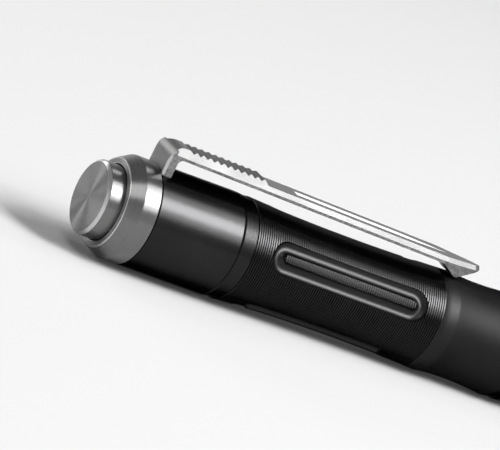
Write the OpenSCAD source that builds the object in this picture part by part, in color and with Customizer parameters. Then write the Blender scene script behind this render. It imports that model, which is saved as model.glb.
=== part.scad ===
/* [Cells] */
// Length of a cell with its contact stud
cell_l = 44.5; // [40:0.5:60]
// Radius of a cell in its sleeve
cell_r = 5.2; // [5:0.05:6]
// Thickness of the printed sleeve
sleeve_t = 0.08; // [0.06:0.01:0.1]
// Bare edge of the can at each end of the sleeve
sleeve_inset = 0.3; // [0.2:0.05:0.5]
// Radius of the contact stud
stud_r = 1.9; // [1.7:0.05:2.2]
// Height of the contact stud
stud_h = 0.8; // [0.6:0.05:1]
// Length of the pressed spring between the switch board and the rear cell
cell_spring_l = 5.42; // [4.6:0.02:6.4]

/* [Barrel] */
// Clearance round the cells in the barrel's bore
cell_gap = 0.1; // [0.06:0.01:0.2]
// Wall of the barrel's threaded ends
thread_wall = 0.65; // [0.55:0.01:0.8]
// Wall of the widest bands outside the seal's land
band_wall = 0.95; // [0.85:0.01:1.2]
// Fall from the widest bands to the rear end of the barrel
grip_drop = 0.16; // [0.1:0.01:0.2]
// Depth of the rear grip's waist
grip_dip = 0.41; // [0.2:0.01:0.5]
// Depth of the neck below the rear crest
neck_dip = 0.25; // [0.15:0.01:0.35]
// Depth of the front grip's waist
front_dip = 0.4; // [0.2:0.01:0.5]
// Plain band at the ends of the grips
plain_l = 2.1; // [1.6:0.1:2.6]
// Band between the rear grip and the neck
crest_l = 2.1; // [1.6:0.1:2.6]
// Distance from the rear crest to the neck's narrowest place
neck_l = 5.25; // [4.6:0.05:6]
// Distance from that place to the front cell's rear end
neck_lead = 4.95; // [4:0.05:6]
// Break on the barrel's two outer edges
barrel_edge = 0.15; // [0.1:0.05:0.25]

/* [Grip slots] */
// Number of slots round each grip
slot_count = 4; // [3:1:5]
// Angle from the clip to the first slot
slot_turn = 67; // [0:1:89]
// Distance from a rear slot to the end of its grip
slot_end_l = 2.5; // [1.5:0.1:4]
// Distance from a front slot to the end of its grip
front_slot_end_l = 4.6; // [3:0.1:6]
// Width of a slot's outline
slot_w = 4.35; // [3.8:0.05:4.8]
// Width of the channel that runs round the ribbed island
channel_w = 1.35; // [1.1:0.05:1.6]
// Depth of the channel at the grip's waist
channel_d = 0.5; // [0.3:0.05:0.6]

/* [Screw joints] */
// Length of the threaded end
thread_l = 2.6; // [2.2:0.1:4]
// Rise from the thread to the land that holds the seal
land_rise = 0.3; // [0.2:0.02:0.4]
// Length of the land
land_l = 1.9; // [1.6:0.05:2.4]
// Depth of the seal's groove
groove_d = 0.5; // [0.4:0.02:0.6]
// Width of the seal's groove
groove_w = 0.8; // [0.7:0.05:1]
// Break at the lead-in of each threaded end
lead_in = 0.2; // [0.1:0.05:0.3]
// Room between the barrel's end and the threaded ring in the tail cap
thread_room = 0.2; // [0.15:0.05:0.6]

/* [Tail cap] */
// Fall from the widest bands to the tail cap next to the barrel
cap_drop = 0.14; // [0.1:0.01:0.2]
// Fall of the tail cap's radius from the barrel to the tail ring
cap_taper = 0.06; // [0:0.01:0.1]
// Thickness of the web between the boot and the switch
web_t = 0.7; // [0.6:0.05:1]
// Radius of the web's hole
web_hole_r = 2.6; // [2.2:0.1:3]

/* [Tail ring] */
// Length of the tail ring's visible part
ring_l = 4.2; // [3.8:0.1:5]
// Inward slope of the ring's bevel, across the radius
ring_bevel = 1; // [0.8:0.05:1.2]
// Length of the ring's plain cylinder
ring_plain_l = 2.3; // [1.8:0.1:2.8]
// Step from a steel ring's outside down to its threaded tube
tube_step = 0.9; // [0.85:0.01:1]
// Wall of the tail ring's threaded tube
ring_tube_wall = 0.6; // [0.5:0.01:0.7]
// Length of the threaded tube
ring_tube_l = 2.2; // [2:0.05:2.6]
// Inward reach of the lip that the button passes through
ring_lip_w = 0.3; // [0.25:0.01:0.4]
// Length of the lip
ring_lip_l = 1.2; // [1:0.1:1.4]

/* [Button] */
// How far the button stands out of the ring
button_out = 2.4; // [2:0.1:2.8]
// Clearance between the button and the ring's lip
button_gap = 0.15; // [0.1:0.01:0.2]
// Chamfer round the button's face
button_edge = 0.4; // [0.3:0.05:0.5]
// Travel of the button
button_travel = 1.2; // [0.8:0.1:1.3]
// Clearance between the button's flange and the ring
flange_gap = 0.12; // [0.08:0.01:0.15]
// Thickness of that flange
button_flange_t = 0.8; // [0.6:0.05:0.9]
// Wall of the button round its hollow
button_wall = 0.85; // [0.7:0.05:1]
// Thickness of the button's face
button_face_t = 1.4; // [1:0.1:1.6]
// Radius of the button's stem
stem_r = 1.5; // [1.3:0.05:1.8]
// Gap between the stem's end and the boot's flange
stem_rise = 1; // [0.9:0.05:1.1]
// Thickness of the rubber boot
boot_t = 0.5; // [0.4:0.05:0.6]
// Radius of the boot's cone at its foot
boot_foot_r = 3.6; // [3.2:0.1:4.2]

/* [Switch] */
// Gap between the square housing's corners and the tail cap
switch_gap = 0.63; // [0.5:0.01:1]
// Height of the switch's housing
switch_h = 2.7; // [2.5:0.05:3.2]
// Radius of the plunger
plunger_r = 1.3; // [1.1:0.05:1.5]
// Rim of the plunger's foot
foot_rim = 0.4; // [0.3:0.05:0.5]
// Thickness of the plunger's foot and of the housing's lid
foot_t = 0.4; // [0.35:0.05:0.45]
// Clearance between the foot and the wall of its hollow
hollow_gap = 0.15; // [0.1:0.01:0.2]
// Floor of the housing under the spring
housing_floor = 0.25; // [0.2:0.05:0.3]
// Thickness of the round switch board
board_t = 0.7; // [0.6:0.05:1]
// Thickness of the threaded ring that keeps the board in
keeper_t = 1.1; // [0.9:0.05:1.4]
// Width of that ring
keeper_w = 1.06; // [0.8:0.02:1.3]
// Width of the two wrench notches in it
keeper_notch_w = 1.2; // [1:0.1:1.5]
// Wire radius of the cell spring
wire_r = 0.3; // [0.25:0.05:0.35]
// Outer radius of the cell spring on the board
spring_base_r = 3.9; // [3.6:0.1:4.4]
// Outer radius of the cell spring under the cell
spring_top_r = 2.4; // [2:0.1:2.8]
// Turns of the cell spring
spring_turns = 5; // [4:1:5]
// Wire radius of the small spring in the switch
fine_wire_r = 0.14; // [0.1:0.01:0.15]
// Turns of the small spring
fine_turns = 3; // [3:1:4]

/* [Clip] */
// Width of the clip
clip_w = 5.26; // [4.6:0.02:6]
// Thickness of the clip's leg
leg_t = 1.42; // [1.3:0.02:1.6]
// Height of the arm's underside above the tail cap, at the leg
arm_gap = 2.06; // [1.8:0.01:2.4]
// Drop of the arm towards its foot
arm_drop = 0.6; // [0.4:0.02:0.8]
// Thickness of the arm past the pad
arm_t = 0.92; // [0.85:0.01:1.1]
// Thickness of the toothed pad
pad_t = 1.38; // [1.3:0.01:1.6]
// Length of the slope from the pad down to the arm
pad_slope_l = 0.55; // [0.4:0.05:2]
// Plain length of the pad after the last notch
pad_rest_l = 0.21; // [0.15:0.02:2]
// Distance from the foot's lowest place back to the crest that it rests over
foot_back = 0.2; // [0.1:0.05:0.4]
// Length of the arm's slope down to the foot
foot_fall_l = 2.8; // [2.4:0.1:4.4]
// Gap between the foot and the barrel
foot_gap = 0.09; // [0.06:0.01:0.15]
// Length of the foot's flat
foot_flat_l = 0.5; // [0.3:0.1:0.8]
// Distance from the foot's lowest place to the clip's tip
tip_l = 3.9; // [3.6:0.1:5.4]
// Rise of the tip's underside over the foot
tip_rise = 1.77; // [1.4:0.01:1.9]
// Thickness of the tip's end
tip_t = 0.4; // [0.3:0.02:0.5]
// Half width of the tip's end
tip_half_w = 0.62; // [0.6:0.02:0.9]
// Chamfer along the clip's edges at its side
clip_edge = 0.5; // [0.4:0.01:0.6]
// Outer radius of the bend at the leg
bend_r = 1.45; // [1.2:0.05:1.7]
// Distance from the tail ring to the line where the arm flexes
flex_s = 2.75; // [2.6:0.05:3.2]
// Gap at the flexing line
flex_gap = 0.12; // [0.1:0.01:0.15]
// Number of notches across the pad
tooth_count = 11; // [8:1:12]
// Distance between notches
tooth_pitch = 1.055; // [0.9:0.005:1.1]
// Depth of the notches
tooth_d = 0.36; // [0.25:0.01:0.4]
// Distance from the flexing line to the first notch
tooth_lead = 0.53; // [0.5:0.01:1.4]
// Distance from the pad's slope to the groove along the arm
fuller_lead = 5.25; // [2:0.05:6]
// Width of the groove along the arm
fuller_w = 1.3; // [1:0.1:1.5]
// Depth of the groove along the arm
fuller_d = 0.28; // [0.2:0.02:0.35]
// Width of the band of the clip's collar
collar_w = 0.42; // [0.36:0.01:0.48]

/* [Head] */
// Length of the steel bezel
bezel_l = 6.5; // [5.6:0.1:7.4]
// Length of the bezel's plain cylinder
bezel_plain_l = 4.6; // [4:0.1:5]
// Length of the bezel in front of the lens's seal
bezel_lip_l = 3.22; // [2.6:0.02:3.8]
// Inward slope of the bezel's bevel, across the radius
bezel_bevel = 1.1; // [0.9:0.05:1.3]
// Inward reach of the bezel's lip past the reflector's mouth
lip_cover = 0.1; // [0.05:0.01:0.15]
// Flare of the bezel's opening
flare_w = 0.5; // [0.3:0.05:0.6]
// Wall between the head's front bore and the bezel's thread
bezel_tube_wall = 0.55; // [0.5:0.01:0.6]
// Length of the bezel's threaded tube
bezel_tube_l = 2.9; // [2.4:0.1:3.4]
// Number of cooling grooves
fin_count = 4; // [3:1:5]
// Distance between cooling grooves
fin_pitch = 2; // [1.7:0.1:2.3]
// Width of a cooling groove
fin_w = 1; // [0.8:0.1:1.2]
// Depth of a cooling groove
fin_d = 0.6; // [0.4:0.05:0.7]
// Distance from the barrel to the first cooling groove
fin_start = 7; // [6:0.1:8]
// Thickness of the web behind the driver board
head_web_t = 0.85; // [0.7:0.05:1]
// Radius of the hole in that web
head_web_r = 4.6; // [4:0.1:5]

/* [Driver] */
// Thickness of the driver board
driver_t = 0.8; // [0.7:0.05:1]
// Radius of the brass contact post
post_r = 1.6; // [1.4:0.1:1.8]
// Radius of the post's flange
post_flange_r = 2.4; // [2.2:0.1:2.8]
// Thickness of the post's flange
post_flange_t = 0.5; // [0.4:0.05:0.6]
// Length of the brass heat sink
sink_l = 4; // [3.6:0.05:4.8]
// Depth of the hollow behind the heat sink
sink_hollow_d = 2.7; // [2.3:0.05:3.2]
// Wall of the heat sink round that hollow
sink_wall = 0.81; // [0.7:0.01:1]
// Radius of the two wire holes
wire_hole_r = 0.65; // [0.55:0.05:0.75]
// Wall between a wire hole and the hollow's edge
wire_edge = 0.15; // [0.1:0.01:0.2]
// Radius of the two wires
lead_r = 0.35; // [0.3:0.02:0.42]
// Length of the wires' soldered ends
lead_reach = 0.7; // [0.6:0.02:0.8]

/* [Light source] */
// Thickness of the light source's board
led_board_t = 1; // [0.8:0.1:1.2]
// Edge of the heat sink outside the light source's board
led_board_edge = 0.51; // [0.4:0.01:0.6]
// Side of the square light source
led_w = 2.8; // [2.4:0.1:3.2]
// Height of the light source's base
led_h = 0.6; // [0.5:0.05:0.7]
// Radius of the light source's dome
dome_r = 1.2; // [1:0.05:1.4]
// Clearance between the light source's corners and the centring ring
led_gap = 0.07; // [0.05:0.01:0.1]
// Wall of the centring ring
centring_wall = 0.37; // [0.3:0.01:0.45]
// Rim of the centring ring under the reflector
centring_rim = 0.35; // [0.3:0.01:0.45]
// Thickness of the centring ring's rim
centring_flange_t = 0.55; // [0.5:0.05:0.6]
// Height of the centring ring's neck
centring_neck_h = 0.7; // [0.6:0.05:0.9]

/* [Optics] */
// Length of the reflector
reflector_l = 10; // [9:0.1:12]
// Wall of the reflector at its mouth
reflector_rim = 0.65; // [0.55:0.01:0.8]
// Wall of the reflector at its rear end
reflector_foot_w = 0.8; // [0.6:0.02:0.9]
// Distance from the rear end to the full radius
reflector_cone_l = 3; // [2.6:0.1:3.6]
// Thickness of the glass lens
lens_t = 1.4; // [1.2:0.05:1.6]
// Chamfer on the lens's edges
lens_edge = 0.15; // [0.1:0.05:0.2]
// Thickness of the lens seal's section
lens_seal_d = 0.56; // [0.48:0.02:0.64]

/* [Fits] */
// Gap that shows as a dark line between outer shells
seam_gap = 0.1; // [0.08:0.01:0.12]
// Radial clearance of the screw joints that open
screw_gap = 0.05; // [0.03:0.01:0.06]
// Clearance between pieces that are fixed to each other
seat_gap = 0.04; // [0.03:0.01:0.05]
// Clearance of the seal rings in their grooves
seal_gap = 0.035; // [0.025:0.005:0.04]
// Radial clearance of the button's stem and plunger
slide_gap = 0.08; // [0.06:0.01:0.1]

/* [Hidden] */
$fn = 96;
// Overrun of cutters past the faces that they cut
over = 1;
// Rise of a spring's closed end turn, as a share of its wire's thickness
closed_share = 1.1;
// Sides of the driver's chip, coil and capacitors, as shares of the heat sink's hollow radius
chip_share = 0.42;
coil_share = 0.62;
capacitor_share = 0.2;
// Height of the chip and the coil, as shares of their sides
chip_h_share = 0.4;
coil_h_share = 0.6;
// Height of the light source's dome centre, as a share of its base's height
dome_share = 0.9;
black = [0.07, 0.07, 0.075];
steel = [0.72, 0.72, 0.71];
rubber = [0.05, 0.05, 0.05];
brass = [0.75, 0.6, 0.3];
board_green = [0.08, 0.3, 0.16];

// Radii of the barrel, from the cells outward
bore_r = cell_r + cell_gap;
thread_r = bore_r + thread_wall;
land_r = thread_r + land_rise;
cavity_r = thread_r + screw_gap;
band_r = land_r + band_wall;
grip_end_r = band_r - grip_drop;
grip_waist_r = grip_end_r - grip_dip;
neck_r = grip_end_r - neck_dip;
front_waist_r = band_r - front_dip;
seal_d = groove_d + screw_gap - 2 * seal_gap;
axis_z = band_r;

// Radii in the tail, from the outside inward
cap_front_r = band_r - cap_drop;
cap_rear_r = cap_front_r - cap_taper;
ring_r = cap_rear_r;
ring_face_r = ring_r - ring_bevel;
ring_tube_r = ring_r - tube_step;
ring_bore_r = ring_tube_r - ring_tube_wall;
ring_lip_r = ring_bore_r - ring_lip_w;
button_flange_r = ring_bore_r - flange_gap;
button_r = ring_lip_r - button_gap;
tube_bore_r = ring_tube_r + seat_gap;
collar_r = ring_tube_r + screw_gap;
plunger_foot_r = plunger_r + foot_rim;
hollow_r = plunger_foot_r + hollow_gap;
switch_w = sqrt(2) * (cavity_r - switch_gap);
keeper_bore_r = cavity_r - seat_gap - keeper_w;

// Radii in the head, from the outside inward
bezel_r = band_r;
bezel_tube_r = band_r - tube_step;
bezel_rim_r = band_r - bezel_bevel;
head_bore_r = bezel_tube_r - bezel_tube_wall;
lens_r = head_bore_r - 3 * seat_gap;
reflector_r = lens_r + seat_gap / 2;
mouth_r = reflector_r - reflector_rim;
bezel_mouth_r = mouth_r - lip_cover;
bezel_flare_r = bezel_mouth_r + flare_w;
sink_r = head_bore_r - seat_gap;
sink_hollow_r = sink_r - sink_wall;
wire_hole_at = sink_hollow_r - wire_hole_r - wire_edge;
lead_end_at = wire_hole_at - lead_reach;
led_board_r = sink_r - led_board_edge;

// Radii round the light source, from its corners outward
centring_bore_r = led_w / sqrt(2) + led_gap;
centring_neck_r = centring_bore_r + centring_wall;
throat_r = centring_neck_r + slide_gap;
centring_flange_r = throat_r + centring_rim;
reflector_rear_r = throat_r + reflector_foot_w;

// Stations in the tail, counted forward along the axis from the tail ring's rear face
button_s = -ring_l - button_out;
collar_end_s = leg_t + seat_gap;
boot_s = ring_tube_l + seat_gap;
boot_h = button_travel + boot_t;
plunger_s = boot_s - stem_rise;
web_s = boot_s + boot_t + seat_gap;
housing_s = web_s + web_t + seat_gap;
hollow_s = housing_s + foot_t;
hollow_end_s = housing_s + switch_h - housing_floor;
plunger_foot_s = hollow_s + seat_gap;
switch_board_s = housing_s + switch_h + seat_gap;
keeper_s = switch_board_s + board_t + seat_gap;
thread_s = keeper_s + keeper_t + thread_room;
barrel_s = thread_s + thread_l + land_l;
cap_s = seam_gap;
cap_end_s = barrel_s - seam_gap;

// Stations of the cells, which set the barrel's length
cell_s = keeper_s + cell_spring_l + seat_gap;
front_cell_s = cell_s + cell_l + seat_gap;
cell_end_s = front_cell_s + cell_l;
barrel_end_s = cell_end_s - land_l - thread_l;

// Stations of the grips
grip_s = barrel_s + plain_l;
neck_s = front_cell_s - neck_lead;
crest_s = neck_s - neck_l;
grip_l = crest_s - crest_l - grip_s;
neck_bend_r = (neck_l * neck_l + neck_dip * neck_dip) / (2 * neck_dip);
front_rise = band_r - neck_r;
front_crest_s = neck_s + sqrt(neck_bend_r * neck_bend_r
    - (neck_bend_r - front_rise) * (neck_bend_r - front_rise));
front_half = (barrel_end_s - front_crest_s) / 2 - plain_l;

// Stations in the head, which the optics set
head_s = barrel_end_s + seam_gap;
post_s = cell_end_s + seat_gap;
head_web_s = cell_end_s + 5 * seat_gap;
driver_s = head_web_s + head_web_t + seat_gap;
sink_s = driver_s + driver_t + seat_gap;
led_board_s = sink_s + sink_l + seat_gap;
led_s = led_board_s + led_board_t + seat_gap;
reflector_s = led_s + centring_flange_t + seat_gap;
mouth_s = reflector_s + reflector_l;
lens_s = mouth_s + seat_gap;
lens_seal_s = lens_s + lens_t + seat_gap;
lip_s = lens_seal_s + lens_seal_d + seat_gap;
front_s = lip_s + bezel_lip_l;
bezel_s = front_s - bezel_l;
head_end_s = bezel_s - seam_gap;
tube_s = bezel_s - bezel_tube_l;
middle_s = (button_s + front_s) / 2;
focus_s = led_s + led_h;
focal_l = (sqrt((mouth_s - focus_s) * (mouth_s - focus_s) + mouth_r * mouth_r)
    - (mouth_s - focus_s)) / 2;
vertex_s = focus_s - focal_l;
throat_end_s = vertex_s + throat_r * throat_r / (4 * focal_l);

// Places along the clip and heights above the axis
foot_s = crest_s - foot_back;
foot_start = foot_s - foot_fall_l;
tip_s = foot_s + tip_l;
tooth_start = flex_s + tooth_lead;
pad_end = tooth_start + (tooth_count - 1) * tooth_pitch + tooth_d + pad_rest_l;
fuller_start = pad_end + pad_slope_l + fuller_lead;
under_h = cap_front_r + arm_gap;
pad_h = under_h + pad_t;
arm_slope = arm_drop / (foot_start - flex_s);
function under_at(s) = under_h - arm_slope * (s - flex_s);
foot_h = grip_end_r + foot_gap;
tip_under_h = foot_h + tip_rise;
tip_h = tip_under_h + tip_t;
clip_half_w = clip_w / 2;
edge_h = under_h + arm_t - clip_edge;

// Places children so that their z axis runs forward along the light from station s
module at(s) {
    translate([s - middle_s, 0, axis_z]) rotate([0, 90, 0]) children();
}

// A body of revolution from [radius, station] points
module turned(points) {
    at(0) rotate_extrude() polygon(points);
}

// A tube between two stations
module tube(s0, s1, inner_r, outer_r) {
    turned([[inner_r, s0], [outer_r, s0], [outer_r, s1], [inner_r, s1]]);
}

// A rod between two stations
module rod(s0, s1, r) {
    at(s0) cylinder(r = r, h = s1 - s0);
}

// Points of an arc that dips to low_r at station mid_s
function dip(s0, s1, mid_s, low_r, arc_r, steps) = [
    for (i = [0 : steps])
        let (s = s0 + (s1 - s0) * i / steps)
        [low_r + arc_r - sqrt(arc_r * arc_r - (s - mid_s) * (s - mid_s)), s]
];

// Radius of an arc from its half chord and its rise
function arc_radius(half, rise) = (half * half + rise * rise) / (2 * rise);

// A swept wire: rings of points set round each place on the path
module wire(path, r, sides) {
    n = len(path);
    function heading(i) = let (v = path[min(i + 1, n - 1)] - path[max(i - 1, 0)]) v / norm(v);
    points = [
        for (i = [0 : n - 1])
            let (
                t = heading(i),
                side = cross(t, abs(t.x) > abs(t.z) ? [0, 0, 1] : [1, 0, 0]),
                u = side / norm(side),
                v = cross(t, u)
            )
            for (k = [0 : sides - 1])
                path[i] + r * (cos(360 * k / sides) * u + sin(360 * k / sides) * v)
    ];
    faces = concat(
        [[for (k = [0 : sides - 1]) k]],
        [[for (k = [sides - 1 : -1 : 0]) (n - 1) * sides + k]],
        [for (i = [0 : n - 2]) for (k = [0 : sides - 1]) for (half = [0, 1])
            let (near = i * sides, far = near + sides, next = (k + 1) % sides)
            half == 0 ? [near + k, far + k, far + next] : [near + k, far + next, near + next]]
    );
    polyhedron(points, faces);
}

// A coil spring with closed ends between two stations
module coil(s0, s1, base_r, top_r, r, turns, steps) {
    n = turns * steps;
    at(0) wire([
        for (i = [0 : n])
            let (
                turn = i / steps,
                share = min(max((turn - 1) / (turns - 2), 0), 1),
                ring_r = base_r + (top_r - base_r) * i / n - r,
                closed = min(turn, 1) + max(turn - turns + 1, 0),
                lift = (s1 - s0 - 2 * r - 4 * r * closed_share) * share
                    + 2 * r * closed_share * closed
            )
            [ring_r * cos(360 * turn), ring_r * sin(360 * turn), s0 + r + lift]
    ], r, 8);
}
// The outline of a slot, its long side along x
module racetrack(l, w) {
    square([l - w, w], center = true);
    for (side = [-1, 1]) translate([side * (l - w) / 2, 0]) circle(d = w);
}

// The channel round one island, cut down to a floor of constant radius
module channel(mid_s, l, floor_r) {
    difference() {
        translate([mid_s - middle_s, 0, axis_z])
            linear_extrude(band_r + over)
                difference() {
                    racetrack(l, slot_w);
                    racetrack(l - 2 * channel_w, slot_w - 2 * channel_w);
                }
        rod(mid_s - l, mid_s + l, floor_r);
    }
}

module channels(mid_s, l, floor_r) {
    for (i = [0 : slot_count - 1])
        translate([0, 0, axis_z]) rotate([slot_turn + 360 * i / slot_count, 0, 0])
            translate([0, 0, -axis_z]) channel(mid_s, l, floor_r);
}

module tail_button() {
    end_s = -ring_l + ring_lip_l + seat_gap + button_flange_t;
    hollow_r = button_r - button_wall;
    color(steel) turned([
        [0, button_s], [button_r - button_edge, button_s], [button_r, button_s + button_edge],
        [button_r, end_s - button_flange_t], [button_flange_r, end_s - button_flange_t],
        [button_flange_r, end_s], [hollow_r, end_s], [hollow_r, button_s + button_face_t],
        [stem_r, button_s + button_face_t], [stem_r, plunger_s], [0, plunger_s]
    ]);
}

module switch_plunger() {
    color([0.85, 0.85, 0.8]) turned([
        [0, plunger_s + seat_gap], [plunger_r, plunger_s + seat_gap],
        [plunger_r, plunger_foot_s], [plunger_foot_r, plunger_foot_s],
        [plunger_foot_r, plunger_foot_s + foot_t], [0, plunger_foot_s + foot_t]
    ]);
}

module button_boot() {
    lip_r = stem_r + slide_gap;
    color(rubber) turned([
        [lip_r, boot_s - boot_h], [lip_r + boot_t, boot_s - boot_h], [boot_foot_r, boot_s],
        [ring_tube_r, boot_s], [ring_tube_r, boot_s + boot_t],
        [boot_foot_r - boot_t, boot_s + boot_t], [lip_r, boot_s - boot_h + boot_t]
    ]);
}

module tail_ring() {
    color(steel) turned([
        [ring_lip_r, -ring_l], [ring_face_r, -ring_l], [ring_r, -ring_plain_l], [ring_r, 0],
        [ring_tube_r, 0], [ring_tube_r, ring_tube_l], [ring_bore_r, ring_tube_l],
        [ring_bore_r, -ring_l + ring_lip_l], [ring_lip_r, -ring_l + ring_lip_l]
    ]);
}

// Outline of the clip's leg seen from above: x forward, y across
module leg_outline() {
    polygon([
        [seat_gap, -clip_half_w + clip_edge], [seat_gap + clip_edge, -clip_half_w],
        [leg_t, -clip_half_w], [leg_t, clip_half_w], [seat_gap + clip_edge, clip_half_w],
        [seat_gap, clip_half_w - clip_edge]
    ]);
}

// Extrudes a side view across the clip's width: x forward, y up from the axis
module across() {
    translate([-middle_s, clip_half_w, axis_z]) rotate([90, 0, 0])
        linear_extrude(clip_w) children();
}

// The wedge that both clip pieces lie in, with its chamfered edges
module clip_section() {
    top = pad_h - edge_h;
    translate([-middle_s, 0, axis_z + edge_h]) rotate([0, atan(arm_slope), 0])
        rotate([90, 0, 90]) linear_extrude(tip_s + over)
            polygon([
                [-clip_half_w, -edge_h], [clip_half_w, -edge_h], [clip_half_w, 0],
                [clip_half_w - top - clip_edge, top + clip_edge],
                [-clip_half_w + top + clip_edge, top + clip_edge], [-clip_half_w, 0]
            ]);
}

module clip_root() {
    bend_s = seat_gap + bend_r;
    end_s = flex_s - flex_gap / 2;
    color(steel) {
        intersection() {
            across() union() {
                translate([seat_gap, 0]) square([leg_t - seat_gap, pad_h - bend_r]);
                translate([bend_s, under_h]) square([end_s - bend_s, pad_h - under_h]);
                translate([bend_s, pad_h - bend_r]) intersection() {
                    circle(r = bend_r);
                    translate([-bend_r, 0]) square([bend_r, bend_r]);
                }
                translate([leg_t, under_h - bend_r / 2]) difference() {
                    square(bend_r / 2);
                    translate([bend_r / 2, 0]) circle(r = bend_r / 2);
                }
            }
            translate([-middle_s, 0, axis_z]) linear_extrude(pad_h) union() {
                leg_outline();
                translate([leg_t - seat_gap, -clip_half_w]) square([end_s, clip_w]);
            }
            translate([-middle_s, -clip_half_w, axis_z + collar_r])
                cube([end_s, clip_w, pad_h - collar_r]);
            clip_section();
        }
        tube(seat_gap, leg_t, collar_r, collar_r + collar_w);
    }
}

module clip_arm() {
    start_s = flex_s + flex_gap / 2;
    arm_s = pad_end + pad_slope_l;
    color(steel) difference() {
        intersection() {
            across() polygon([
                [start_s, under_at(start_s)], [foot_start, under_at(foot_start)],
                [foot_s - foot_flat_l / 2, foot_h], [foot_s + foot_flat_l / 2, foot_h],
                [tip_s, tip_under_h], [tip_s, tip_h], [foot_s, under_at(foot_s) + arm_t],
                [arm_s, under_at(arm_s) + arm_t], [pad_end, pad_h], [start_s, pad_h]
            ]);
            translate([-middle_s, 0, axis_z]) linear_extrude(pad_h) polygon([
                [0, -clip_half_w], [foot_start + clip_edge, -clip_half_w], [tip_s, -tip_half_w],
                [tip_s, tip_half_w], [foot_start + clip_edge, clip_half_w], [0, clip_half_w]
            ]);
            clip_section();
        }
        for (i = [0 : tooth_count - 1]) across() translate([tooth_start + i * tooth_pitch, pad_h])
            polygon([[-tooth_d, 0], [0, -tooth_d], [tooth_d, 0]]);
        translate([fuller_start - middle_s, 0, axis_z + under_at(fuller_start) + arm_t])
            rotate([0, atan(arm_slope), 0]) rotate([90, 0, 90])
                linear_extrude(foot_start - fuller_start)
                    polygon([[-fuller_w / 2, 0], [0, -fuller_d], [fuller_w / 2, 0]]);
    }
}

module tail_cap() {
    collar_bore_r = collar_r + collar_w + seat_gap;
    color(black) difference() {
        turned([
            [collar_bore_r, cap_s], [cap_rear_r, cap_s], [cap_front_r, cap_end_s - barrel_edge],
            [cap_front_r - barrel_edge, cap_end_s], [land_r + screw_gap, cap_end_s],
            [land_r + screw_gap, barrel_s - land_l], [cavity_r, barrel_s - land_l],
            [cavity_r, web_s + web_t], [web_hole_r, web_s + web_t], [web_hole_r, web_s],
            [tube_bore_r, web_s], [tube_bore_r, collar_end_s], [collar_bore_r, collar_end_s]
        ]);
        translate([-middle_s, -clip_half_w - seat_gap, axis_z + collar_r])
            cube([collar_end_s, clip_w + 2 * seat_gap, band_r]);
    }
}

module switch_housing() {
    color([0.12, 0.12, 0.13]) difference() {
        at(housing_s) translate([-switch_w / 2, -switch_w / 2, 0])
            cube([switch_w, switch_w, switch_h]);
        rod(housing_s - over, hollow_s + seat_gap, plunger_r + slide_gap);
        rod(hollow_s, hollow_end_s, hollow_r);
    }
}

module switch_spring() {
    color(steel) coil(plunger_foot_s + foot_t + seat_gap, hollow_end_s - seat_gap,
        hollow_r - 3 * seat_gap, hollow_r - 3 * seat_gap, fine_wire_r, fine_turns, 14);
}

module switch_board() {
    color(board_green) rod(switch_board_s, switch_board_s + board_t, cavity_r - seat_gap);
}

module board_keeper() {
    color([0.7, 0.7, 0.72]) difference() {
        tube(keeper_s, keeper_s + keeper_t, keeper_bore_r, cavity_r - seat_gap);
        at(keeper_s + keeper_t / 2) translate([-keeper_notch_w / 2, -cavity_r, 0])
            cube([keeper_notch_w, 2 * cavity_r, keeper_t]);
    }
}

module cell_spring() {
    color([0.8, 0.78, 0.7]) coil(keeper_s, cell_s - seat_gap, spring_base_r, spring_top_r, wire_r,
        spring_turns, 14);
}

// A seal ring lying in a screw joint's groove, centred on station s
module groove_seal(s) {
    color(rubber) at(s) rotate_extrude()
        translate([land_r - groove_d + seal_gap + seal_d / 2, 0]) circle(d = seal_d, $fn = 32);
}

module tail_seal() {
    groove_seal(barrel_s - land_l / 2);
}

module head_seal() {
    groove_seal(barrel_end_s + land_l / 2);
}

// Half outline of a threaded end that starts at station s and points in direction way
function threaded_end(s, way) = let (
        groove_0 = s + way * (land_l - groove_w) / 2,
        groove_1 = s + way * (land_l + groove_w) / 2,
        step = s + way * land_l,
        end = step + way * thread_l
    ) [
        [land_r, s], [land_r, groove_0], [land_r - groove_d, groove_0],
        [land_r - groove_d, groove_1], [land_r, groove_1], [land_r, step], [thread_r, step],
        [thread_r, end - way * lead_in], [thread_r - lead_in, end]
    ];

function reversed(points) = [for (i = [len(points) - 1 : -1 : 0]) points[i]];

module barrel() {
    rear_arc_r = arc_radius((grip_l + crest_l) / 2, grip_end_r - grip_waist_r);
    rear_mid_s = grip_s + (grip_l + crest_l) / 2;
    front_mid_s = (barrel_end_s + front_crest_s) / 2;
    front_arc_r = arc_radius(front_half, band_r - front_waist_r);
    color(black) difference() {
        turned(concat(
            reversed(threaded_end(barrel_s, -1)),
            [[grip_end_r - barrel_edge, barrel_s], [grip_end_r, barrel_s + barrel_edge]],
            dip(grip_s, crest_s, rear_mid_s, grip_waist_r, rear_arc_r, 10),
            dip(crest_s, front_crest_s, neck_s, neck_r, neck_bend_r, 8),
            dip(front_mid_s - front_half, front_mid_s + front_half, front_mid_s, front_waist_r,
                front_arc_r, 10),
            [[band_r, barrel_end_s - barrel_edge], [band_r - barrel_edge, barrel_end_s]],
            threaded_end(barrel_end_s, 1),
            [[bore_r, cell_end_s], [bore_r, thread_s]]
        ));
        channels(grip_s + grip_l / 2, grip_l - 2 * slot_end_l, grip_waist_r - channel_d);
        channels(front_mid_s, 2 * (front_half - front_slot_end_l), front_waist_r - channel_d);
    }
}

module cell_can(s) {
    can_r = cell_r - sleeve_t - seat_gap;
    color([0.78, 0.78, 0.76]) turned([
        [0, s], [can_r, s], [can_r, s + cell_l - stud_h], [stud_r, s + cell_l - stud_h],
        [stud_r, s + cell_l], [0, s + cell_l]
    ]);
}

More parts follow.
